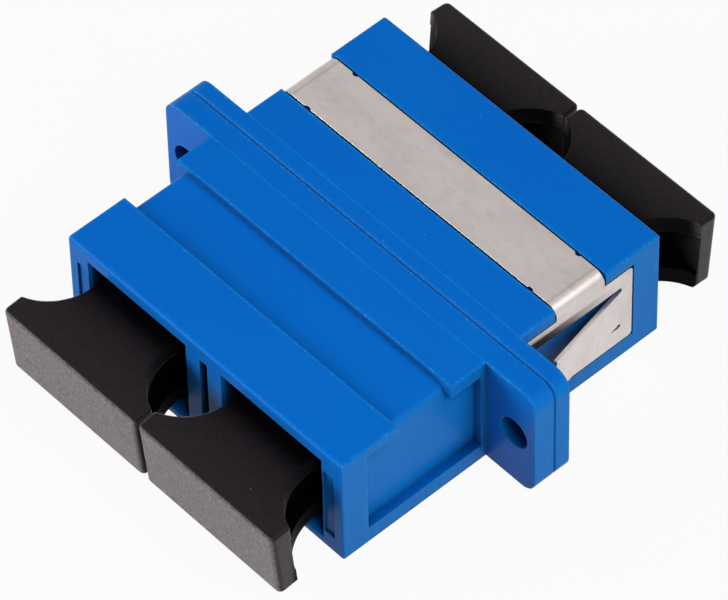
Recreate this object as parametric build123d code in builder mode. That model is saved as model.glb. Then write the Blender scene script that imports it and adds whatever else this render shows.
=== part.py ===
"""A duplex fibre optic adapter: two housing halves with a flange, a spring clip and four dust caps."""
from build123d import *
import os
from math import atan2, cos, degrees, radians, sin

# Sizes in millimetres. X runs across the two channels, +Y along their optical axes towards
# the clipped half, +Z up. The origin lies midway between the flange holes, on the rear face
# of the flange, where a panel seats.

# Channels and the walls around them
pitch = 12.7
port_width = 9.0
port_height = 7.45
end_wall = 2.05
roof = 1.15
floor = 0.7
mouth_chamfer = 0.2
port_lip = 2.5             # depth of the plain mouth, before the room behind the latch arms
arm_room = 0.4             # how far each side of a channel steps out behind the lip
seat_step = 0.7            # how far the latch insert's seat steps out, each side
slot_width = 0.7           # blind slot between the two channels, open at the mouth
slot_depth = 9.0
slot_inset = 0.1           # from the roof and the floor of the channels to the slot
key_width = 2.4            # key notch in the floor of each port
key_depth = 8.0
relief_inset = 0.3         # shallow panel on each end wall's mouth face: from the port,
relief_border = 0.8        # from the housing's side,
relief_margin = 0.7        # from the port's roof and floor
relief_depth = 0.15

# Housing outside
body_length = 12.25        # each half, beyond its flange plate
edge_round = 0.15          # long top edges, and on down the upright corners at the mouths
mouth_round = 0.25         # top edge of each mouth
ear = 4.5                  # how far the flange stands out, each side
ear_round = 1.2
front_plate = 1.75         # the two flange plates
rear_plate = 1.25
seam_chamfer = 0.12        # makes the fine line between the plates
hole_diameter = 2.4
hole_edge = 1.9            # from a hole's centre to the flange's end

# Front half: a waist between the mouth block and the rail beside the flange
mouth_block = 4.75
rail = 2.95
panel_drop = 0.5           # the waist's top panel lies this far below the top
panel_round = 0.4
waist_depth = 0.7          # depth of the side panels
mouth_frame = 2.15         # from the mouth to a side panel
flange_border = 0.4        # from a side panel to the flange
block_brow = 0.75          # height left above a side panel, at the mouth block
rail_brow = 1.1            # and at the rail
skirt = 1.3                # strip left below the side panels

# Latch inserts and split sleeves
sleeve_length = 11.4
sleeve_bore = 2.5
sleeve_wall = 0.35
sleeve_slit = 0.4
sleeve_play = 0.05
barrel_wall = 0.75
barrel_lip = 0.6           # ring at the barrel's end that keeps the sleeve in
lip_catch = 0.1            # how far the lip reaches in over the sleeve's end
lip_chamfer = 0.35
insert_base = 2.0
insert_play = 0.05
arm_play = 0.1             # between a latch arm and the side of the plain mouth
arm_thickness = 0.65
arm_height = 1.8
arm_lead = 4.25            # how far the arms reach past the barrel
hook_depth = 0.7
hook_flat = 0.4
hook_slope = 1.1
hook_height = 1.4

# Spring clip, one folded sheet
sheet = 0.3
bend_radius = 0.8          # outside of the folds over the top edges
fold_room = 0.1            # the housing's edge is rounder than the fold's inside by this
strip_width = 4.2
strip_start = 3.15         # from the rear face of the flange
plate_start = 0.35
plate_margin = 2.43        # from the side plates to the mouth
plate_drop = 1.15          # top of the side plates below the top
plate_lift = 1.5           # bottom of the side plates above the bottom
plate_corner = 0.3
clip_play = 0.12           # between the sheet's outline and its recess
heel = 1.2                 # plate behind the tongue's root
upper_arm = 1.3            # height of the plate's arm above the window
lower_arm = 1.43           # and of the arm below it
tongue_tip = 1.8           # from the rear face of the flange, room for the panel
tongue_angle = 11.5        # degrees outwards
upper_slit = 0.5           # between the tongue and the upper arm
lower_slit = 0.35
slit_end = 0.03            # the slits' round ends are this much wider, each side
notch_radius = 0.3         # small notches in both edges of the strip
notch_inset = 2.45         # from the housing's side to a notch
notch_shift = 0.14         # a notch's centre lies this far outside the strip's edge

# Dust caps
head_gap = 0.05            # between neighbouring heads, when both are centred
cap_slack = 0.725          # cap to the port's roof and floor, when level
cap_length = 11.8
cap_plate = 1.3            # top and bottom plates
head_thickness = 1.4
head_round = 0.25
head_corner = 0.4          # upright corners of the head
plug_play = 0.35           # between the plug and the side of the plain mouth
hook_play = 0.55           # between the plug's web and a hook
scallop_radius = 4.1       # finger scallops in the plates
scallop_waist = 6.9        # width left between the two
scallop_centre = 5.4       # from the outer face
pocket_round = 2.0
plug_chamfer = 0.4
home_gap = 0.35            # from the plug to the barrel when the cap is home
front_pull = 1.1           # how far the front caps stand out from home
rear_pull = 0.0
cap_rise = 0.1             # the cap's centre above the optical axis at the mouth
cap_touch = 0.08           # from the drooping plug's inner edge to the roof
cap_sway = {               # how far each cap sits off its port's middle
    "front_left": 0.0,
    "front_right": 0.2,
    "rear_left": 0.1,
    "rear_right": 0.2,
}

# Places that follow from the sizes
body_width = pitch + port_width + 2 * end_wall
body_height = floor + port_height + roof
side = body_width / 2
top = body_height / 2
axis_height = top - roof - port_height / 2
channels = {"left": -pitch / 2, "right": pitch / 2}
flange_width = body_width + 2 * ear
seam = -rear_plate
plates = {"front": front_plate, "rear": rear_plate}
outward = {"front": Axis((0, 0, 0), (0, -1, 0)), "rear": Axis((0, 0, 0), (0, 1, 0))}
sleeve_radius = sleeve_bore / 2 + sleeve_wall
barrel_bore = sleeve_radius + sleeve_play
barrel_radius = barrel_bore + barrel_wall
lip_radius = sleeve_radius - lip_catch
barrel_length = sleeve_length / 2 + sleeve_play + barrel_lip
arm_inside = port_width / 2 - arm_play - arm_thickness
plug_width = port_width - 2 * plug_play
web_width = 2 * (arm_inside - hook_depth - hook_play)


def across(y):
    """The upright plane at y, square to the optical axes, drawn with +X right and +Z up."""
    return Plane.XZ.offset(-y)


def from_seam(end, distance):
    """The y of a place at this distance from the seam, in the front or the rear half."""
    return seam + outward[end].direction.Y * distance


def housing_half(end):
    """What both halves share: the block with its two channels, and the flange plate."""
    out = outward[end].direction
    mouth_distance = plates[end] + body_length
    mouth = from_seam(end, mouth_distance)
    with BuildPart() as half:
        with BuildSketch(across(seam)):
            Rectangle(body_width, body_height)
        extrude(amount=mouth_distance, dir=out)
        fillet(faces().sort_by(Axis.Z)[-1].edges().sort_by(outward[end])[-1], mouth_round)
        fillet(faces().sort_by(Axis.Z)[-1].edges().filter_by(Axis.Y), edge_round)

        # Flange plate, with a small chamfer where it meets the other half's plate
        with BuildSketch(across(seam)):
            RectangleRounded(flange_width, body_height, ear_round)
        extrude(amount=plates[end], dir=out)
        chamfer(faces().sort_by(outward[end])[0].edges(), seam_chamfer)
        with BuildSketch(across(seam)):
            with Locations((flange_width / 2 - hole_edge, 0), (hole_edge - flange_width / 2, 0)):
                Circle(hole_diameter / 2)
        extrude(amount=plates[end], dir=out, mode=Mode.SUBTRACT)

        # Channels: the plain mouth right through, then the wider room and the insert's seat
        ports = [(x, axis_height) for x in channels.values()]
        with BuildSketch(across(seam)):
            with Locations(*ports):
                Rectangle(port_width, port_height)
        extrude(amount=mouth_distance, dir=out, mode=Mode.SUBTRACT)
        mouth_face = faces().sort_by(outward[end])[-1]
        chamfer([wire.edges() for wire in mouth_face.inner_wires()], mouth_chamfer)
        with BuildSketch(across(seam)):
            with Locations(*ports):
                Rectangle(port_width + 2 * arm_room, port_height)
        extrude(amount=mouth_distance - port_lip, dir=out, mode=Mode.SUBTRACT)
        with BuildSketch(across(seam)):
            with Locations(*ports):
                Rectangle(port_width + 2 * seat_step, port_height)
        extrude(amount=insert_base + insert_play, dir=out, mode=Mode.SUBTRACT)

        # Slot between the channels and key notches in the floor
        with BuildSketch(across(mouth)):
            with Locations((0, axis_height)):
                Rectangle(slot_width, port_height - 2 * slot_inset)
        extrude(amount=slot_depth, dir=-out, mode=Mode.SUBTRACT)
        with BuildSketch(across(mouth)):
            with Locations(*[(x, -top + floor / 2) for x in channels.values()]):
                Rectangle(key_width, floor + mouth_chamfer)
        extrude(amount=key_depth, dir=-out, mode=Mode.SUBTRACT)

        # Shallow panels on the mouth face of the two end walls
        relief_width = end_wall - relief_inset - relief_border
        relief_x = side - relief_border - relief_width / 2
        with BuildSketch(across(mouth)):
            with Locations((relief_x, axis_height), (-relief_x, axis_height)):
                Rectangle(relief_width, port_height - 2 * relief_margin)
        extrude(amount=relief_depth, dir=-out, mode=Mode.SUBTRACT)
    return half.part


# Front half
front_half = housing_half("front")
front_mouth = from_seam("front", front_plate + body_length)
flange_front = from_seam("front", front_plate)
waist_front = front_mouth + mouth_block
waist_back = flange_front - rail
waist_side = side - waist_depth
panel_height = top - panel_drop

with BuildPart() as front_housing:
    add(front_half)

    # Lowered top panel of the waist, and the square-edged rail behind it
    with BuildSketch(Plane.XY.offset(panel_height)):
        with Locations((0, (waist_front + waist_back) / 2)):
            Rectangle(body_width, waist_back - waist_front)
    extrude(amount=panel_drop, mode=Mode.SUBTRACT)
    with BuildSketch(across(flange_front)):
        with Locations((0, top - rail_brow / 2)):
            Rectangle(body_width, rail_brow)
    extrude(amount=rail, dir=outward["front"].direction)

    # Side panels, under the block and the rail and open at the top between them
    for start in (waist_side, -side):
        with BuildSketch(Plane.YZ.offset(start)):
            with BuildLine():
                Polyline(
                    (front_mouth + mouth_frame, skirt - top),
                    (flange_front - flange_border, skirt - top),
                    (flange_front - flange_border, top - rail_brow),
                    (waist_back, top - rail_brow),
                    (waist_back, top),
                    (waist_front, top),
                    (waist_front, top - block_brow),
                    (front_mouth + mouth_frame, top - block_brow),
                    close=True,
                )
            make_face()
        extrude(amount=waist_depth, mode=Mode.SUBTRACT)
    shoulders = edges().filter_by(Axis.Y).filter_by(
        lambda edge: abs(edge.center().Z - panel_height) < edge.length / 100
    )
    fillet(shoulders, panel_round)
front_housing.part.label = "front_housing"

# Spring clip: outline of its side plates and of the strip over the top
rear_mouth = from_seam("rear", rear_plate + body_length)
plate_end = rear_mouth - plate_margin
plate_top = top - plate_drop
plate_bottom = plate_lift - top
strip_middle = strip_start + strip_width / 2
window_top = plate_top - upper_arm
window_bottom = plate_bottom + lower_arm
tongue_root = plate_end - heel
tongue_top = window_top - upper_slit
tongue_bottom = window_bottom + lower_slit
tongue_middle = (tongue_top + tongue_bottom) / 2
sheet_side = side - sheet
tilt = radians(tongue_angle)
tongue_length = (tongue_root - tongue_tip) / cos(tilt)

# Rear half
rear_half = housing_half("rear")

with BuildPart() as rear_housing:
    add(rear_half)

    # Recess for the clip: over the top and down both sides, then wider for the side plates
    with BuildSketch(across(strip_middle)):
        with Locations((0, (top + plate_top) / 2)):
            Rectangle(body_width, plate_drop)
        with BuildSketch(mode=Mode.SUBTRACT) as core:
            with Locations((0, -sheet)):
                Rectangle(2 * sheet_side, body_height)
            fillet(core.vertices().group_by(Axis.Y)[-1], bend_radius - sheet + fold_room)
    extrude(amount=strip_width / 2 + clip_play, both=True, mode=Mode.SUBTRACT)
    for start in (sheet_side, -side):
        with BuildSketch(Plane.YZ.offset(start)):
            with Locations((0, plate_bottom - clip_play)):
                Rectangle(
                    plate_end + clip_play,
                    plate_top - plate_bottom + 2 * clip_play,
                    align=(Align.MIN, Align.MIN),
                )
        extrude(amount=sheet, mode=Mode.SUBTRACT)
rear_housing.part.label = "rear_housing"

with BuildPart() as spring_clip:
    # Strip over the top with its two folds
    with BuildSketch(across(strip_middle)):
        with BuildSketch() as fold:
            Rectangle(body_width, body_height)
            fillet(fold.vertices().group_by(Axis.Y)[-1], bend_radius)
        with BuildSketch(mode=Mode.SUBTRACT) as inside:
            with Locations((0, -sheet)):
                Rectangle(2 * sheet_side, body_height)
            fillet(inside.vertices().group_by(Axis.Y)[-1], bend_radius - sheet)
        with Locations((0, plate_top)):
            Rectangle(body_width, plate_top + top, align=(Align.CENTER, Align.MAX), mode=Mode.SUBTRACT)
    extrude(amount=strip_width / 2, both=True)
    with BuildSketch(Plane.XY.offset(top - sheet)):
        for edge_y in (strip_start - notch_shift, strip_start + strip_width + notch_shift):
            with Locations((side - notch_inset, edge_y), (notch_inset - side, edge_y)):
                Circle(notch_radius)
    extrude(amount=sheet, mode=Mode.SUBTRACT)

    # Side plates, each with a window that is open towards the flange
    for start in (sheet_side, -side):
        with BuildSketch(Plane.YZ.offset(start)) as plate:
            with Locations((plate_start, plate_bottom)):
                Rectangle(plate_end - plate_start, plate_top - plate_bottom, align=(Align.MIN, Align.MIN))
            fillet(plate.vertices().group_by(Axis.X)[-1], plate_corner)
            with Locations((plate_start, window_bottom)):
                Rectangle(
                    tongue_root - plate_start,
                    window_top - window_bottom,
                    align=(Align.MIN, Align.MIN),
                    mode=Mode.SUBTRACT,
                )
        extrude(amount=sheet)

    # Tongues, bent outwards at the windows' closed end
    for hand in (-1, 1):
        across_sheet = Vector(hand * cos(tilt), sin(tilt), 0)
        along_tongue = Vector(hand * sin(tilt), -cos(tilt), 0)
        bent = Plane(origin=(hand * sheet_side, tongue_root, tongue_middle), x_dir=along_tongue, z_dir=across_sheet)
        with BuildSketch(bent) as tongue:
            Rectangle(tongue_length, tongue_top - tongue_bottom, align=(Align.MIN, Align.CENTER))
            fillet(tongue.vertices().group_by(Axis.X)[-1], plate_corner)
        extrude(amount=sheet)

    # Round ends of the slits
    with BuildSketch(Plane.YZ):
        with Locations((tongue_root, window_top - upper_slit / 2)):
            Circle(upper_slit / 2 + slit_end)
        with Locations((tongue_root, window_bottom + lower_slit / 2)):
            Circle(lower_slit / 2 + slit_end)
    extrude(amount=side + sheet, both=True, mode=Mode.SUBTRACT)
spring_clip.part.label = "spring_clip"

# Latch inserts: base, barrel and two hooked arms, in each end of each channel
latch_inserts = []
for end in ("front", "rear"):
    out = outward[end].direction
    for hand, x in channels.items():
        with BuildPart() as latch_insert:
            with BuildSketch(across(seam)):
                with Locations((x, axis_height)):
                    Rectangle(
                        port_width + 2 * (seat_step - insert_play),
                        port_height - 2 * insert_play,
                    )
            extrude(amount=insert_base, dir=out)
            with BuildSketch(across(seam)):
                with Locations((x, axis_height)):
                    Circle(barrel_radius)
            extrude(amount=barrel_length, dir=out)
            with BuildSketch(across(seam)):
                with Locations((x, axis_height)):
                    Circle(lip_radius)
            extrude(amount=barrel_length, dir=out, mode=Mode.SUBTRACT)
            lip_edge = faces().sort_by(outward[end])[-1].inner_wires()[0].edges()
            chamfer(lip_edge, lip_chamfer)
            with BuildSketch(across(seam)):
                with Locations((x, axis_height)):
                    Circle(barrel_bore)
            extrude(amount=barrel_length - barrel_lip, dir=out, mode=Mode.SUBTRACT)

            # Arms in plan, then the hooks at their tips, less high than the arms
            arm_start = from_seam(end, insert_base)
            arm_end = from_seam(end, barrel_length + arm_lead)
            hook_end = from_seam(end, barrel_length + arm_lead - hook_flat - hook_slope)
            flat_end = from_seam(end, barrel_length + arm_lead - hook_flat)
            for mirrored in (-1, 1):
                inside_x = x + mirrored * arm_inside
                outside_x = x + mirrored * (arm_inside + arm_thickness)
                hook_x = x + mirrored * (arm_inside - hook_depth)
                with BuildSketch(Plane.XY.offset(axis_height)):
                    with BuildLine():
                        Polyline(
                            (inside_x, arm_start),
                            (outside_x, arm_start),
                            (outside_x, arm_end),
                            (inside_x, arm_end),
                            close=True,
                        )
                    make_face()
                extrude(amount=arm_height / 2, both=True)
                with BuildSketch(Plane.XY.offset(axis_height)):
                    with BuildLine():
                        Polyline(
                            (outside_x, arm_end),
                            (inside_x, arm_end),
                            (hook_x, flat_end),
                            (hook_x, hook_end),
                            (inside_x, hook_end),
                            (outside_x, hook_end),
                            close=True,
                        )
                    make_face()
                extrude(amount=hook_height / 2, both=True)
        latch_insert.part.label = f"{end}_{hand}_latch"
        latch_inserts.append(latch_insert.part)

# Split sleeves, one through both inserts of each channel
sleeves = []
for hand, x in channels.items():
    with BuildPart() as sleeve:
        with BuildSketch(across(seam)):
            with Locations((x, axis_height)):
                Circle(sleeve_radius)
                Circle(sleeve_bore / 2, mode=Mode.SUBTRACT)
                Rectangle(
                    sleeve_slit,
                    2 * sleeve_radius,
                    align=(Align.CENTER, Align.MIN),
                    mode=Mode.SUBTRACT,
                )
        extrude(amount=sleeve_length / 2, both=True)
    sleeve.part.label = f"{hand}_sleeve"
    sleeves.append(sleeve.part)

# Dust caps: a head with a finger scallop on each side, and a plug that droops in its port
cap_width = pitch - head_gap
cap_height = port_height - 2 * cap_slack
pocket_height = cap_height - 2 * cap_plate
scallop_x = scallop_waist / 2 + scallop_radius
caps = []
for end, pull in (("front", front_pull), ("rear", rear_pull)):
    mouth_distance = plates[end] + body_length
    plug_depth = mouth_distance - barrel_length - home_gap - pull
    droop = degrees(atan2(port_height / 2 - cap_height / 2 - cap_rise - cap_touch, plug_depth))
    turn = (droop, 0, 0) if end == "front" else (-droop, 0, 180)
    for hand, x in channels.items():
        # In the cap's own frame +Y points into the port, from the middle of its mouth
        name = f"{end}_{hand}"
        middle = Location((x + cap_sway[name], from_seam(end, mouth_distance), axis_height + cap_rise), turn)
        outer_face = plug_depth - cap_length
        head_inside = outer_face + head_thickness
        with BuildPart() as cap:
            with BuildSketch(middle * Plane.XY):
                with Locations((0, outer_face)):
                    Rectangle(cap_width, scallop_centre, align=(Align.CENTER, Align.MIN))
            extrude(amount=cap_height / 2, both=True)
            fillet(faces().sort_by(outward[end])[-1].edges().filter_by(Axis.X, reverse=True), head_corner)
            fillet(faces().sort_by(outward[end])[-1].edges(), head_round)
            with BuildSketch(middle * Plane.XY) as plug:
                with Locations((0, head_inside)):
                    Rectangle(plug_width, cap_length - head_thickness, align=(Align.CENTER, Align.MIN))
                chamfer(plug.vertices().group_by(Axis.Y)[-1], plug_chamfer)
            extrude(amount=cap_height / 2, both=True)
            with BuildSketch(middle * Plane.XY):
                with Locations((scallop_x, outer_face + scallop_centre), (-scallop_x, outer_face + scallop_centre)):
                    Circle(scallop_radius)
            extrude(amount=cap_height / 2, both=True, mode=Mode.SUBTRACT)

            # Pockets between the top and bottom plates leave a web with a rounded root
            for mirrored in (-1, 1):
                with BuildSketch(middle * Plane.XY) as pocket:
                    with BuildLine():
                        Polyline(
                            (mirrored * web_width / 2, head_inside),
                            (mirrored * cap_width / 2, head_inside),
                            (mirrored * cap_width / 2, plug_depth),
                            (mirrored * web_width / 2, plug_depth),
                            close=True,
                        )
                    make_face()
                    root = pocket.vertices().sort_by_distance((mirrored * web_width / 2, head_inside))[0]
                    fillet(root, pocket_round)
                extrude(amount=pocket_height / 2, both=True, mode=Mode.SUBTRACT)
        cap.part.label = f"{name}_cap"
        caps.append(cap.part)

os.makedirs("parts", exist_ok=True)
for piece in (front_housing.part, rear_housing.part, spring_clip.part, *latch_inserts, *sleeves, *caps):
    export_step(piece, f"parts/{piece.label}.step")
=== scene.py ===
"""Finishes a duplex fibre optic adapter: moulded housing, spring steel clip, dust caps and stage."""
from math import cos, pi, radians, sin

import bmesh
import bpy
from mathutils import Matrix, Vector


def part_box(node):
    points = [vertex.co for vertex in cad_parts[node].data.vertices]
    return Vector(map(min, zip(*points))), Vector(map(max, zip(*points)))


bl_info = {
    "name": "Duplex fibre adapter",
    "version": (1, 0, 0),
    "blender": (4, 5, 0),
    "location": "View3D > Sidebar > Adapter",
    "description": "Finishes and lights a duplex fibre optic adapter with dust caps",
    "category": "Object",
}

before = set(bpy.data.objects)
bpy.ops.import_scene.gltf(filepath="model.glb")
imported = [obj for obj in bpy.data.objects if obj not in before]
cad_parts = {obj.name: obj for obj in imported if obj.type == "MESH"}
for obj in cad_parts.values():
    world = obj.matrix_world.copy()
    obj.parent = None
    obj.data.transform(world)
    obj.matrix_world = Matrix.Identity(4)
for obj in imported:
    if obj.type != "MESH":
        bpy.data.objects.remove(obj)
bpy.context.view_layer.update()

# Lengths are in metres, as Blender's are
MM = 0.001

# Axes, as places in a corner of a box
Y, Z = 1, 2

WHITE = (1, 1, 1, 1)
LATCHES = ("front_left_latch", "front_right_latch", "rear_left_latch", "rear_right_latch")
SLEEVES = ("left_sleeve", "right_sleeve")
CAPS = ("front_left_cap", "front_right_cap", "rear_left_cap", "rear_right_cap")


def reach(node, axis):
    """The lowest and the highest place of a CAD node along an axis."""
    lowest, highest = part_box(node)
    return lowest[axis], highest[axis]


FOOT, TOP = reach("front_housing", Z)
SEAM = reach("front_housing", Y)[1]
CLIP_FRONT, CLIP_REAR = reach("spring_clip", Y)
CAPS_FRONT = reach("front_left_cap", Y)[0]
CAPS_REAR = reach("rear_left_cap", Y)[1]

# Rays that each point of a surface sends out to find its edges and its shade
EDGE_RAYS = 4
SHADE_RAYS = 3
FINE_SHADE_RAYS = 8

# Sockets of a Mix node that mixes colours
MIX_FACTOR, MIX_FIRST, MIX_SECOND, MIX_RESULT = 0, 6, 7, 2

# The camera's sensor, in the millimetres that Blender gives it in, and its range
SENSOR_WIDTH = 36
NEAREST_SEEN = 10 * MM
FARTHEST_SEEN = 10000 * MM


class Wire:
    """One socket of a shader tree. Arithmetic on it adds Math nodes."""

    def __init__(self, shader, socket):
        self.shader = shader
        self.socket = socket

    def maths(self, operation, *terms):
        """A Math node on these terms, in this order."""
        return self.shader.node("ShaderNodeMath", {"operation": operation}, dict(enumerate(terms)))

    def __add__(self, other):
        return self.maths("ADD", self, other)

    def __radd__(self, other):
        return self.maths("ADD", other, self)

    def __sub__(self, other):
        return self.maths("SUBTRACT", self, other)

    def __rsub__(self, other):
        return self.maths("SUBTRACT", other, self)

    def __mul__(self, other):
        return self.maths("MULTIPLY", self, other)

    def __rmul__(self, other):
        return self.maths("MULTIPLY", other, self)

    def __abs__(self):
        return self.maths("ABSOLUTE", self)

    def above(self, low, high, under=0.0, over=1.0):
        """One value under low, another over high, and a smooth step between them."""
        return self.shader.node(
            "ShaderNodeMapRange",
            {"interpolation_type": "SMOOTHSTEP"},
            {"Value": self, "From Min": low, "From Max": high, "To Min": under, "To Max": over},
        )


class Shader:
    """A node tree that is written as calls and expressions."""

    def __init__(self, owner):
        owner.use_nodes = True
        self.tree = owner.node_tree
        self.tree.nodes.clear()

    def node(self, kind, settings=None, values=None, output=0):
        """Adds a node: its settings first, then the values or links of its sockets."""
        node = self.tree.nodes.new(kind)
        for name, setting in (settings or {}).items():
            setattr(node, name, setting)
        for name, value in (values or {}).items():
            if isinstance(value, Wire):
                self.tree.links.new(value.socket, node.inputs[name])
            else:
                node.inputs[name].default_value = value
        return Wire(self, node.outputs[output]) if node.outputs else None

    def place(self, stretch=(1, 1, 1)):
        """The place on the object, stretched along each axis."""
        coordinates = self.node("ShaderNodeTexCoord", output="Object")
        return self.node("ShaderNodeMapping", {}, {"Vector": coordinates, "Scale": stretch})

    def along(self, axis):
        """The place along one axis."""
        return self.node("ShaderNodeSeparateXYZ", {}, {"Vector": self.place()}, output=axis)

    def noise(self, size, stretch=(1, 1, 1), detail=2.0, roughness=0.5):
        """Soft noise whose blotches are about this size."""
        values = {
            "Vector": self.place(stretch),
            "Scale": 1 / size,
            "Detail": detail,
            "Roughness": roughness,
        }
        return self.node("ShaderNodeTexNoise", {}, values)

    def specks(self, spacing, radius, strength):
        """This strength in sparse round specks, 0 elsewhere."""
        values = {"Vector": self.place(), "Scale": 1 / spacing}
        near = self.node("ShaderNodeTexVoronoi", {"feature": "F1"}, values)
        edge = radius / spacing
        return near.above(edge * 0.6, edge, under=strength, over=0)

    def line(self, coordinate, middle, half_width, strength=1.0):
        """This strength where a coordinate is near its middle value, 0 elsewhere."""
        return abs(coordinate - middle).above(half_width / 2, half_width, under=strength, over=0)

    def rounded(self, radius):
        """The normal of a surface whose edges are rounded by this radius."""
        return self.node("ShaderNodeBevel", {"samples": EDGE_RAYS}, {"Radius": radius})

    def edges(self, radius, strength=1.0):
        """This strength along inner and outer edges, fading out at this radius from them."""
        flat = self.node("ShaderNodeNewGeometry", output="True Normal")
        normals = {0: self.rounded(radius), 1: flat}
        alike = self.node("ShaderNodeVectorMath", {"operation": "DOT_PRODUCT"}, normals, output="Value")
        return (1 - alike).above(0.01, 0.18, over=strength)

    def openness(self, distance, alone=False, rays=SHADE_RAYS):
        """1 in the open, 0 in gaps narrower than this distance. Alone, only the piece's own gaps count."""
        settings = {"samples": rays, "only_local": alone}
        return self.node("ShaderNodeAmbientOcclusion", settings, {"Distance": distance}, output="AO")

    def facing(self, axis):
        """1 on faces square to this axis, 0 on faces along it."""
        normal = self.node("ShaderNodeNewGeometry", output="True Normal")
        part = self.node("ShaderNodeSeparateXYZ", {}, {"Vector": normal}, output=axis)
        return abs(part).above(0.5, 0.9)

    def ray(self, kind):
        """1 for rays of this kind, Camera or Glossy, 0 for the others."""
        return self.node("ShaderNodeLightPath", output=f"Is {kind} Ray")

    def blend(self, factor, first, second):
        """Two colours mixed by a factor."""
        values = {MIX_FACTOR: factor, MIX_FIRST: first, MIX_SECOND: second}
        return self.node("ShaderNodeMix", {"data_type": "RGBA"}, values, output=MIX_RESULT)

    def bump(self, height, depth, normal):
        """A normal disturbed by a height of 0 to 1, where 1 stands this far out."""
        values = {"Height": height, "Distance": depth, "Strength": 1.0, "Normal": normal}
        return self.node("ShaderNodeBump", {}, values)

    def principled(self, **values):
        """A Principled shader, with its sockets named as arguments."""
        sockets = {name.replace("_", " ").title(): value for name, value in values.items()}
        sockets = {name.replace("Ior", "IOR"): value for name, value in sockets.items()}
        return self.node("ShaderNodeBsdfPrincipled", {}, sockets)

    def mixed(self, factor, first, second):
        """Two shaders mixed by a factor."""
        return self.node("ShaderNodeMixShader", {}, {0: factor, 1: first, 2: second})

    def surface(self, shader):
        """Puts a shader on the material's output."""
        self.node("ShaderNodeOutputMaterial", {}, {"Surface": shader})


def new_material(name):
    """A new material and the shader tree to write it in."""
    material = bpy.data.materials.new(name)
    return material, Shader(material)


def finish(material, *nodes):
    """Gives a material to the whole of some CAD nodes."""
    for name in nodes:
        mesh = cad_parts[name].data
        mesh.materials.clear()
        mesh.materials.append(material)


def add_object(name, data):
    """A new object in the scene with this mesh, lamp or camera."""
    added = bpy.data.objects.new(name, data)
    bpy.context.scene.collection.objects.link(added)
    return added


def darker(colour, share):
    """A colour with this share of its light."""
    return tuple(channel * share for channel in colour[:3]) + (1,)


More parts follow.
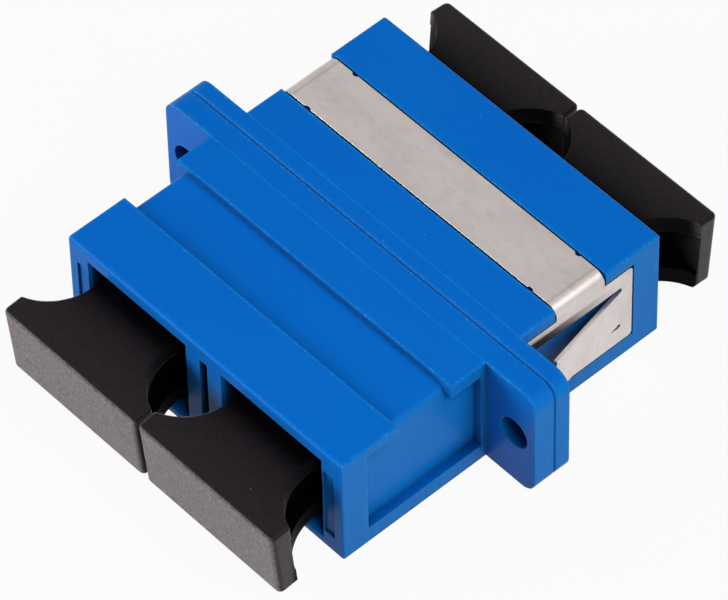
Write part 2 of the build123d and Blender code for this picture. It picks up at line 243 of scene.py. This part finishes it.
class AdapterFinish(bpy.types.PropertyGroup):
    """Colours and markings of the adapter's own pieces, and the painted light and shade on them."""

    housing_colour: bpy.props.FloatVectorProperty(
        name="Housing colour", description="Blue of the moulded housing",
        subtype="COLOR", size=4, min=0, max=1, default=(0.0, 0.14, 0.6, 1),
    )
    # Painted light: besides the flow marks, this lighter blue is painted on the sides that face along X,
    # standing in for the light they catch
    housing_flow_and_lit_sides: bpy.props.FloatVectorProperty(
        name="Housing light blue", description="Lighter blue of flow marks and of the drawn sides",
        subtype="COLOR", size=4, min=0, max=1, default=(0.002, 0.22, 0.68, 1),
    )
    # Painted highlight: this pale blue lightens the small edges, standing in for the light on their
    # rounding, together with real scuffs, parting lines and specks
    housing_scuffs_and_highlights: bpy.props.FloatVectorProperty(
        name="Housing scuffs", description="Pale blue of scuffed edges, parting lines and specks",
        subtype="COLOR", size=4, min=0, max=1, default=(0.004, 0.29, 0.78, 1),
    )
    housing_fleck: bpy.props.FloatVectorProperty(
        name="Housing flecks", description="Pale flecks where the top edges were knocked",
        subtype="COLOR", size=4, min=0, max=1, default=(0.03, 0.4, 0.85, 1),
    )
    # Painted shade: this dark blue is blended into seams, inner corners, ports, under ledges and beside
    # other pieces, where shade falls
    housing_painted_shade: bpy.props.FloatVectorProperty(
        name="Housing crevices", description="Dark blue in seams, inner corners and ports",
        subtype="COLOR", size=4, min=0, max=1, default=(0.0, 0.006, 0.05, 1),
    )
    edge_round: bpy.props.FloatProperty(
        name="Moulded edges", description="Rounding of the housing's small edges",
        unit="LENGTH", precision=5, default=0.12 * MM, min=0, max=0.5 * MM,
    )
    flash_front: bpy.props.FloatProperty(
        name="Front parting line", description="Place of the line before the flange",
        unit="LENGTH", precision=5, default=SEAM - 1.75 * MM,
    )
    flash_rear: bpy.props.FloatProperty(
        name="Rear parting line", description="Place of the line behind the flange",
        unit="LENGTH", precision=5, default=SEAM + 1.25 * MM,
    )
    flash_width: bpy.props.FloatProperty(
        name="Parting line width", description="Half the width of a parting line",
        unit="LENGTH", precision=5, default=0.07 * MM,
    )
    top_band: bpy.props.FloatVectorProperty(
        name="Top band", description="Heights between which the top begins",
        unit="LENGTH", precision=5, size=2, default=(TOP - 0.1 * MM, TOP - 0.01 * MM),
    )
    fleck_band: bpy.props.FloatVectorProperty(
        name="Fleck band", description="Heights between which the flecks begin",
        unit="LENGTH", precision=5, size=2, default=(TOP - 0.65 * MM, TOP - 0.15 * MM),
    )
    foot_band: bpy.props.FloatVectorProperty(
        name="Foot band", description="Heights between which the floor stops counting as cover",
        unit="LENGTH", precision=5, size=2, default=(FOOT + 0.05 * MM, FOOT + 2.15 * MM),
    )
    steel_colour: bpy.props.FloatVectorProperty(
        name="Steel colour", description="Warm grey of the rolled spring steel",
        subtype="COLOR", size=4, min=0, max=1, default=(0.82, 0.755, 0.73, 1),
    )
    steel_streak: bpy.props.FloatVectorProperty(
        name="Steel streaks", description="Darker grey of the rolling streaks and smudges",
        subtype="COLOR", size=4, min=0, max=1, default=(0.62, 0.57, 0.54, 1),
    )
    steel_edge: bpy.props.FloatVectorProperty(
        name="Steel edges", description="Bright sheared edges of the sheet",
        subtype="COLOR", size=4, min=0, max=1, default=(0.9, 0.88, 0.86, 1),
    )
    # Painted reflection: a dark band where the sheet begins to fold, standing in for the dark surroundings
    # it mirrors there
    steel_fold_reflection: bpy.props.FloatVectorProperty(
        name="Steel at the folds", description="Dull band where the sheet begins to fold",
        subtype="COLOR", size=4, min=0, max=1, default=(0.2, 0.19, 0.18, 1),
    )
    # Place and width of the painted reflection band at the folds
    fold: bpy.props.FloatProperty(
        name="Fold", description="Distance of the dull band from the middle",
        unit="LENGTH", precision=5, default=12.0 * MM,
    )
    fold_width: bpy.props.FloatProperty(
        name="Fold width", description="Half the width of the dull band",
        unit="LENGTH", precision=5, default=0.16 * MM,
    )
    # Painted reflection and shade: this dark grey stands in for the dark underside mirrored in the upper
    # arm's lower part, and for the shade in narrow gaps
    steel_painted_dark: bpy.props.FloatVectorProperty(
        name="Steel shade", description="Dark mark under the fold, and the shade in narrow gaps",
        subtype="COLOR", size=4, min=0, max=1, default=(0.03, 0.03, 0.035, 1),
    )
    dark_reflection_height: bpy.props.FloatProperty(
        name="Mark height", description="Height of the mark's middle",
        unit="LENGTH", precision=5, default=2.64 * MM,
    )
    dark_reflection_width: bpy.props.FloatProperty(
        name="Mark width", description="Half the width of the mark",
        unit="LENGTH", precision=5, default=0.6 * MM,
    )
    dark_reflection_slope: bpy.props.FloatProperty(
        name="Mark slope", description="Rise of the mark towards the rear", default=-0.03,
    )
    dark_reflection_fade: bpy.props.FloatVectorProperty(
        name="Mark fade", description="Places between which the mark fades out",
        unit="LENGTH", precision=5, size=2,
        default=(CLIP_FRONT + 0.65 * MM, CLIP_REAR - 0.32 * MM),
    )
    cap_colour: bpy.props.FloatVectorProperty(
        name="Cap colour", description="Near black of the dust caps",
        subtype="COLOR", size=4, min=0, max=1, default=(0.009, 0.006, 0.0085, 1),
    )
    # Painted sheen with some wear: this mottled grey lightens the heads' outer faces that face along Y,
    # standing in for the light they reflect
    cap_wear_and_sheen: bpy.props.FloatVectorProperty(
        name="Cap faces", description="Mottled grey of the handled outer faces",
        subtype="COLOR", size=4, min=0, max=1, default=(0.205, 0.185, 0.198, 1),
    )
    # Painted shade: the black put in the finger scallops, the pockets and on the tops under the port's
    # roof
    cap_shade: bpy.props.FloatVectorProperty(
        name="Cap recesses", description="Black of the finger scallops and under the port's roof",
        subtype="COLOR", size=4, min=0, max=1, default=(0.0014, 0.001, 0.0016, 1),
    )
    cap_speck: bpy.props.FloatVectorProperty(
        name="Cap specks", description="Dust on the caps",
        subtype="COLOR", size=4, min=0, max=1, default=(0.3, 0.29, 0.3, 1),
    )
    cap_head: bpy.props.FloatProperty(
        name="Cap head", description="Depth of the worn head from its outer face",
        unit="LENGTH", precision=5, default=1.9 * MM,
    )
    latch_colour: bpy.props.FloatVectorProperty(
        name="Latch colour", description="Ivory of the latch inserts",
        subtype="COLOR", size=4, min=0, max=1, default=(0.78, 0.77, 0.7, 1),
    )
    ceramic_colour: bpy.props.FloatVectorProperty(
        name="Sleeve colour", description="White of the ceramic sleeves",
        subtype="COLOR", size=4, min=0, max=1, default=(0.88, 0.87, 0.84, 1),
    )


class AdapterStage(bpy.types.PropertyGroup):
    """Camera, lamps, surroundings and floor."""

    azimuth: bpy.props.FloatProperty(
        name="Azimuth", description="Turn of the camera about the vertical",
        subtype="ANGLE", default=radians(48.5545),
    )
    elevation: bpy.props.FloatProperty(
        name="Elevation", description="Height of the camera above the horizon",
        subtype="ANGLE", default=radians(50.402),
    )
    roll: bpy.props.FloatProperty(
        name="Roll", description="Lean of the camera", subtype="ANGLE", default=radians(-1.4333),
    )
    aim: bpy.props.FloatVectorProperty(
        name="Aim", description="Point in the middle of the picture", subtype="TRANSLATION",
        size=3, precision=6, default=(-1.1630 * MM, -0.5959 * MM, -3.5707 * MM),
    )
    distance: bpy.props.FloatProperty(
        name="Distance", description="Camera to the aimed point", unit="LENGTH",
        precision=6, default=432.4469 * MM,
    )
    focal: bpy.props.FloatProperty(
        name="Focal length", description="For a 36 mm sensor", unit="CAMERA", default=330.6346,
    )
    key_level: bpy.props.FloatProperty(
        name="Key lamp", description="Radiance of the large lamp overhead", default=5.6, min=0,
    )
    key_size: bpy.props.FloatProperty(
        name="Key lamp size", description="Side of the lamp overhead",
        unit="LENGTH", default=200 * MM,
    )
    key_place: bpy.props.FloatVectorProperty(
        name="Key lamp place", description="Middle of the lamp overhead",
        subtype="TRANSLATION", size=3, default=(190 * MM, -20 * MM, 240 * MM),
    )
    fill_level: bpy.props.FloatProperty(
        name="Fill lamp", description="Radiance of the lamp at the front left", default=8.5, min=0,
    )
    fill_size: bpy.props.FloatProperty(
        name="Fill lamp size", description="Side of the lamp at the front left",
        unit="LENGTH", default=160 * MM,
    )
    fill_place: bpy.props.FloatVectorProperty(
        name="Fill lamp place", description="Middle of the lamp at the front left",
        subtype="TRANSLATION", size=3, default=(-200 * MM, -220 * MM, 90 * MM),
    )
    sky_level: bpy.props.FloatProperty(
        name="Surroundings", description="Even light from all around", default=0.15, min=0,
    )
    mirror_level: bpy.props.FloatProperty(
        name="Mirrored surroundings", description="How bright glossy surfaces show them",
        default=0.6, min=0,
    )
    floor_size: bpy.props.FloatProperty(
        name="Floor size", description="Half the side of the floor",
        unit="LENGTH", default=900 * MM,
    )
    floor_colour: bpy.props.FloatVectorProperty(
        name="Floor colour", description="Grey that lights the object from below",
        subtype="COLOR", size=4, min=0, max=1, default=(0.5, 0.5, 0.5, 1),
    )
    floor_white: bpy.props.FloatProperty(
        name="White floor", description="Share of pure white in view, the rest keeps the shadow",
        subtype="FACTOR", default=0.94, min=0, max=1,
    )
    floor_mirrored: bpy.props.FloatProperty(
        name="Mirrored floor", description="Share of pure white that glossy surfaces show",
        subtype="FACTOR", default=0.75, min=0, max=1,
    )


class ADAPTER_OT_housing(bpy.types.Operator):
    """Blue moulded plastic for the two housing halves"""

    bl_idname = "adapter.housing"
    bl_label = "Moulded housing"

    def execute(self, context):
        looks = context.scene.adapter_finish
        material, shader = new_material("blue_moulded_plastic")
        flow = shader.noise(size=6.0 * MM, stretch=(0.5, 1.4, 1.0), detail=3.0)
        grain = shader.noise(size=0.12 * MM, detail=3.0, roughness=0.6)
        height = shader.along("Z")
        # Painted shade in narrow crevices and seams
        crevice_light = shader.openness(distance=0.35 * MM).above(0.15, 0.8)
        blue = self.moulded_blue(shader, looks, flow)
        # Painted highlight along the small edges, kept out of the crevices
        edges = shader.edges(radius=0.45 * MM) * crevice_light
        scuffed_and_highlit = self.scuffed_and_highlit_blue(shader, looks, blue, edges, height)
        # Painted shade: the colour goes to the painted shade blue in crevices, under ledges, beside other
        # pieces and inside the ports
        light = crevice_light * self.recess_light(shader, looks, height)
        shader.surface(shader.principled(
            base_color=shader.blend(light, looks.housing_painted_shade, scuffed_and_highlit),
            roughness=0.27 + flow * 0.08 + grain * 0.05,
            specular_ior_level=0.07,
            sheen_weight=0.15,
            sheen_tint=(0.3, 0.9, 1.0, 1),
            sheen_roughness=0.4,
            normal=shader.bump(grain, depth=0.004 * MM, normal=shader.rounded(looks.edge_round)),
        ))
        finish(material, "front_housing", "rear_housing")
        return {"FINISHED"}

    def moulded_blue(self, shader, looks, flow):
        """The blue of the tops with faint flow marks, and a painted lighter blue on the sides facing along
        X, standing in for the light they catch.
        """
        drag = shader.noise(size=0.3 * MM, stretch=(1.0, 1.0, 0.06))
        # Painted light on the sides that face along X
        painted_lit_sides = shader.facing("X") * drag.above(0.35, 0.7, under=0.52, over=0.72)
        marks = flow.above(0.35, 0.75, over=0.1) + drag.above(0.45, 0.7, over=0.08)
        return shader.blend(marks + painted_lit_sides, looks.housing_colour, looks.housing_flow_and_lit_sides)

    def scuffed_and_highlit_blue(self, shader, looks, blue, edges, height):
        """The blue with scuffs and a painted highlight along its edges, parting lines, specks and the
        flecks of the top edges.
        """
        scuffs = shader.noise(size=0.5 * MM, detail=3.0)
        body = shader.along("Y")
        front_flash = shader.line(body, looks.flash_front, looks.flash_width)
        rear_flash = shader.line(body, looks.flash_rear, looks.flash_width)
        flash = (front_flash + rear_flash) * height.above(*looks.top_band)
        # Painted highlight along the edges, broken up by real scuffs
        scuffed_and_highlit_edges = edges * scuffs.above(0.5, 0.7, under=0.35, over=0.75)
        worn_flash = flash * scuffs.above(0.5, 0.7, under=0.3, over=0.7)
        specks = shader.specks(spacing=4.2 * MM, radius=0.09 * MM, strength=0.8)
        worn_and_highlit = shader.blend(scuffed_and_highlit_edges + worn_flash + specks, blue, looks.housing_scuffs_and_highlights)
        knocks = shader.noise(size=0.22 * MM).above(0.57, 0.64)
        flecks = edges * height.above(*looks.fleck_band) * knocks
        return shader.blend(flecks, worn_and_highlit, looks.housing_fleck)

    def recess_light(self, shader, looks, height):
        """Painted shade: 1 in the open, falling under ledges, beside other pieces and inside the ports."""
        off_floor = height.above(*looks.foot_band, under=0.1)
        cover = shader.openness(distance=3.0 * MM).above(0.25, 0.68, under=0.9, over=0)
        port_light = shader.openness(distance=5.0 * MM, alone=True).above(0.25, 0.6, under=0.1)
        return (1 - cover * off_floor) * port_light


class ADAPTER_OT_clip(bpy.types.Operator):
    """Rolled stainless steel for the spring clip"""

    bl_idname = "adapter.clip"
    bl_label = "Spring clip"

    def execute(self, context):
        looks = context.scene.adapter_finish
        material, shader = new_material("rolled_spring_steel")
        streaks = shader.noise(size=1.0 * MM, stretch=(0.3, 5.0, 0.3), detail=4.0, roughness=0.65)
        clouds = shader.noise(size=3.0 * MM, stretch=(0.6, 1.5, 0.6), detail=3.0)
        rolled = self.rolled_grey(shader, looks, streaks, clouds)
        reflected_grey = self.grey_with_painted_reflections(shader, looks, rolled)
        # Painted shade in the slits and narrow gaps
        gap_light = shader.openness(distance=0.3 * MM).above(0.25, 0.8)
        shader.surface(shader.principled(
            base_color=shader.blend(gap_light, looks.steel_painted_dark, reflected_grey),
            metallic=1.0,
            roughness=0.34 + clouds * 0.1,
            normal=shader.bump(streaks, depth=0.002 * MM, normal=shader.rounded(0.06 * MM)),
        ))
        finish(material, "spring_clip")
        return {"FINISHED"}

    def rolled_grey(self, shader, looks, streaks, clouds):
        """The grey of the sheet with its rolling streaks, clouds and smudges."""
        smudges = shader.noise(size=0.7 * MM, stretch=(0.8, 1.2, 0.8), detail=5.0, roughness=0.7)
        streak = streaks.above(0.3, 0.72, over=0.12)
        cloud = clouds.above(0.35, 0.7, over=0.4)
        smudge = smudges.above(0.45, 0.75, over=0.4)
        return shader.blend(streak + cloud + smudge, looks.steel_colour, looks.steel_streak)

    def grey_with_painted_reflections(self, shader, looks, grey):
        """The grey with painted dark reflections at the folds and on the upper arm, and bright edges."""
        height = shader.along("Z")
        body = shader.along("Y")
        # Painted reflection: a dark band at the folds, standing in for the dark surroundings mirrored
        # there
        band = shader.line(abs(shader.along("X")), looks.fold, looks.fold_width, strength=0.2)
        fold_reflected = shader.blend(band * height.above(*looks.top_band), grey, looks.steel_fold_reflection)
        # Painted reflection: dark grey on the upper arm's lower part, facing along X, standing in for the
        # dark underside it mirrors
        level = height - body * looks.dark_reflection_slope
        dark_reflection = shader.line(level, looks.dark_reflection_height, looks.dark_reflection_width) * shader.facing("X")
        dark_reflection = dark_reflection * body.above(*looks.dark_reflection_fade, under=1, over=0)
        bruised = shader.blend(dark_reflection, fold_reflected, looks.steel_painted_dark)
        return shader.blend(shader.edges(radius=0.08 * MM, strength=0.6), bruised, looks.steel_edge)


class ADAPTER_OT_caps(bpy.types.Operator):
    """Fine-textured black plastic for the four dust caps"""

    bl_idname = "adapter.caps"
    bl_label = "Dust caps"

    def execute(self, context):
        looks = context.scene.adapter_finish
        material, shader = new_material("black_textured_plastic")
        mottle = shader.noise(size=0.22 * MM, detail=4.0, roughness=0.7)
        head = self.head(shader, looks)
        # Painted shade: a black, nearly glossless surface put where shade falls
        black = shader.principled(
            base_color=looks.cap_shade,
            roughness=0.6,
            specular_ior_level=0.01,
        )
        dusty = self.dusty(shader, looks, mottle, head)
        # Painted shade mix: 0 puts the black, 1 the open surface, with a fine mottle
        lit_share = self.unshaded(shader, head) * mottle.above(0.3, 0.7, under=0.75)
        shader.surface(shader.mixed(lit_share, black, dusty))
        finish(material, *CAPS)
        return {"FINISHED"}

    def head(self, shader, looks):
        """1 on the heads at the caps' outer ends, 0 behind them."""
        fade = 0.5 * MM
        middle = (CAPS_REAR + CAPS_FRONT) / 2
        head_inside = (CAPS_REAR - CAPS_FRONT) / 2 - looks.cap_head
        return abs(shader.along("Y") - middle).above(head_inside, head_inside + fade)

    def dusty(self, shader, looks, mottle, head):
        """The plastic where it lies open: a fine grain under a dusty film, and outer faces with wear and a
        painted sheen.
        """
        texture = shader.noise(size=0.09 * MM, detail=4.0, roughness=0.7)
        clouds = shader.noise(size=2.5 * MM, detail=3.0)
        # Painted sheen: the heads' outer faces along Y are lightened, standing in for the light they
        # reflect, with a mottle of wear
        worn_and_highlit = shader.facing("Y") * head * mottle.above(0.3, 0.7, under=0.4, over=0.9)
        black_grey = shader.blend(worn_and_highlit, looks.cap_colour, looks.cap_wear_and_sheen)
        specks = shader.specks(spacing=3.1 * MM, radius=0.05 * MM, strength=0.5)
        return shader.principled(
            base_color=shader.blend(specks, black_grey, looks.cap_speck),
            roughness=0.36 + clouds * 0.1,
            specular_ior_level=0.15,
            sheen_weight=1.0,
            sheen_tint=(1.0, 0.87, 0.95, 1),
            sheen_roughness=0.35,
            normal=shader.bump(texture, depth=0.02 * MM, normal=shader.rounded(0.15 * MM)),
        )

    def unshaded(self, shader, head):
        """Painted shade: 1 in the open, 0 on the tops under the roof and in the pockets, little on the
        scallops.
        """
        scallop_shade = 0.85
        flat = shader.facing("Z")
        roof_light = shader.openness(distance=5.0 * MM, rays=FINE_SHADE_RAYS)
        sheltered = flat * roof_light.above(0.75, 1.0, under=1, over=0)
        pocket_light = shader.openness(distance=8.0 * MM, alone=True).above(0.84, 0.99)
        scallops = (1 - head) * (1 - flat) * scallop_shade
        return pocket_light * (1 - sheltered) * (1 - scallops)


class ADAPTER_OT_inside(bpy.types.Operator):
    """Ivory plastic for the latch inserts and white ceramic for the sleeves"""

    bl_idname = "adapter.inside"
    bl_label = "Latches and sleeves"

    def execute(self, context):
        looks = context.scene.adapter_finish
        self.finish_latches(looks.latch_colour)
        self.finish_sleeves(looks.ceramic_colour)
        return {"FINISHED"}

    def finish_latches(self, ivory):
        """Moulded plastic with faint flow marks."""
        material, shader = new_material("ivory_moulded_plastic")
        flow = shader.noise(size=3.0 * MM)
        shader.surface(shader.principled(
            base_color=shader.blend(flow.above(0.35, 0.7), ivory, darker(ivory, 0.9)),
            roughness=0.38 + flow * 0.1,
            normal=shader.rounded(0.08 * MM),
        ))
        finish(material, *LATCHES)

    def finish_sleeves(self, white):
        """Ceramic with the fine rings that grinding leaves."""
        material, shader = new_material("ground_ceramic")
        rings = shader.noise(size=1.0 * MM, stretch=(0.3, 12.0, 0.3), detail=3.0)
        shader.surface(shader.principled(
            base_color=shader.blend(rings.above(0.3, 0.7), white, darker(white, 0.93)),
            roughness=0.2 + rings * 0.12,
            normal=shader.rounded(0.05 * MM),
        ))
        finish(material, *SLEEVES)


class ADAPTER_OT_stage(bpy.types.Operator):
    """White floor, soft lamps, even surroundings and the camera"""

    bl_idname = "adapter.stage"
    bl_label = "Stage"

    def execute(self, context):
        stage = context.scene.adapter_stage
        self.make_floor(stage)
        self.make_world(stage)
        self.make_lamp("key_lamp", stage.key_place, stage.key_size, stage.key_level)
        self.make_lamp("fill_lamp", stage.fill_place, stage.fill_size, stage.fill_level)
        self.make_camera(stage)
        context.scene.view_settings.view_transform = "Standard"
        return {"FINISHED"}

    def make_floor(self, stage):
        """A floor under the housing, white to the camera but for a faint shadow."""
        mesh = bmesh.new()
        bmesh.ops.create_grid(mesh, x_segments=1, y_segments=1, size=stage.floor_size)
        bmesh.ops.translate(mesh, verts=mesh.verts, vec=(0, 0, FOOT))
        data = bpy.data.meshes.new("floor")
        mesh.to_mesh(data)
        mesh.free()
        floor = add_object("floor", data)
        material, shader = new_material("white_floor")
        share = shader.ray("Camera") * stage.floor_white + shader.ray("Glossy") * stage.floor_mirrored
        paper = shader.node("ShaderNodeBsdfDiffuse", {}, {"Color": stage.floor_colour})
        white = shader.node("ShaderNodeEmission", {}, {"Color": WHITE, "Strength": 1.0})
        shader.surface(shader.mixed(share, paper, white))
        data.materials.append(material)

    def make_world(self, stage):
        """Even light from all around, which the camera sees as pure white."""
        world = bpy.data.worlds.new("surroundings")
        bpy.context.scene.world = world
        shader = Shader(world)
        sky = stage.sky_level
        level = sky + shader.ray("Camera") * (1 - sky) + shader.ray("Glossy") * (stage.mirror_level - sky)
        background = shader.node("ShaderNodeBackground", {}, {"Color": WHITE, "Strength": level})
        shader.node("ShaderNodeOutputWorld", {}, {"Surface": background})

    def make_lamp(self, name, place, size, level):
        """A square soft lamp of this radiance that faces the object."""
        data = bpy.data.lights.new(name, "AREA")
        data.shape = "SQUARE"
        data.size = size
        data.energy = level * pi * size ** 2
        lamp = add_object(name, data)
        lamp.location = place
        lamp.rotation_euler = (-lamp.location).to_track_quat("-Z", "Y").to_euler()

    def make_camera(self, stage):
        """The photograph's camera, turned about the point that it aims at."""
        azimuth, elevation, roll = stage.azimuth, stage.elevation, stage.roll
        forward = Vector((-sin(azimuth) * cos(elevation), cos(azimuth) * cos(elevation), -sin(elevation)))
        level_right = Vector((cos(azimuth), sin(azimuth), 0))
        level_up = level_right.cross(forward)
        right = level_right * cos(roll) + level_up * sin(roll)
        up = level_up * cos(roll) - level_right * sin(roll)
        turn = Matrix((right, up, -forward)).transposed().to_4x4()
        data = bpy.data.cameras.new("camera")
        data.lens = stage.focal
        data.sensor_width = SENSOR_WIDTH
        data.clip_start = NEAREST_SEEN
        data.clip_end = FARTHEST_SEEN
        camera = add_object("camera", data)
        camera.matrix_world = Matrix.Translation(Vector(stage.aim) - forward * stage.distance) @ turn
        bpy.context.scene.camera = camera


class ADAPTER_PT_look(bpy.types.Panel):
    """Lists the finishes and the stage"""

    bl_idname = "ADAPTER_PT_look"
    bl_label = "Duplex fibre adapter"
    bl_space_type = "VIEW_3D"
    bl_region_type = "UI"
    bl_category = "Adapter"

    def draw(self, context):
        for group in (context.scene.adapter_finish, context.scene.adapter_stage):
            for name in group.__annotations__:
                self.layout.prop(group, name)
        for operator in OPERATORS:
            self.layout.operator(operator.bl_idname)


OPERATORS = (
    ADAPTER_OT_housing,
    ADAPTER_OT_clip,
    ADAPTER_OT_caps,
    ADAPTER_OT_inside,
    ADAPTER_OT_stage,
)
CLASSES = (AdapterFinish, AdapterStage, *OPERATORS, ADAPTER_PT_look)


def register():
    for cls in CLASSES:
        bpy.utils.register_class(cls)
    bpy.types.Scene.adapter_finish = bpy.props.PointerProperty(type=AdapterFinish)
    bpy.types.Scene.adapter_stage = bpy.props.PointerProperty(type=AdapterStage)


def unregister():
    del bpy.types.Scene.adapter_stage
    del bpy.types.Scene.adapter_finish
    for cls in reversed(CLASSES):
        bpy.utils.unregister_class(cls)


def main():
    register()
    bpy.ops.adapter.housing()
    bpy.ops.adapter.clip()
    bpy.ops.adapter.caps()
    bpy.ops.adapter.inside()
    bpy.ops.adapter.stage()


if __name__ == "__main__":
    main()
